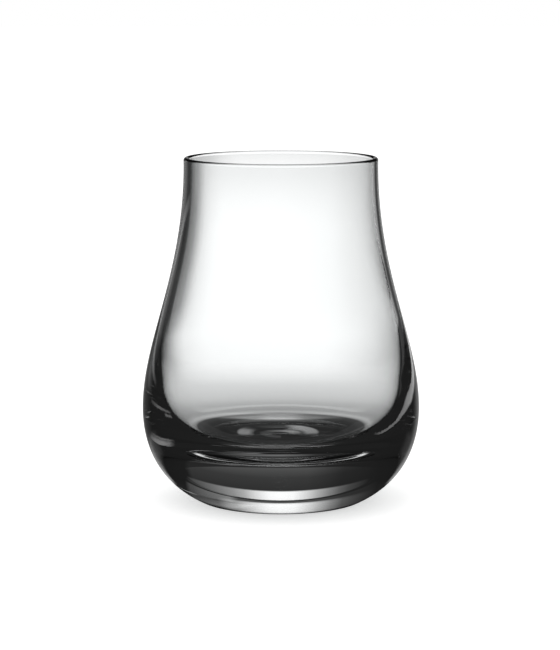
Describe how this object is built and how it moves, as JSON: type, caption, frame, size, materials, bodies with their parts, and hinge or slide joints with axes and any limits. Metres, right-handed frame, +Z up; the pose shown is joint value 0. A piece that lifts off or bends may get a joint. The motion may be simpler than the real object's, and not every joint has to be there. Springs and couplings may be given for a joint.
{
  "type": "whisky tumbler",
  "caption": "Stemless tulip-shaped whisky tumbler of clear glass: wide rounded belly, thick solid base and a straight narrow mouth with a rounded lip.",
  "frame": {"origin": "centre of the foot, on the table that the tumbler stands on", "axes": "+Z up along the tumbler's turning axis, from the foot to the mouth; X and Y are equal by rotation"},
  "size_m": [0.0792, 0.0792, 0.098],
  "materials": {
    "clear_glass": "gloss"
  },
  "bodies": {
    "root": {"tumbler_glass": "clear_glass"}
  },
  "joints": []
}
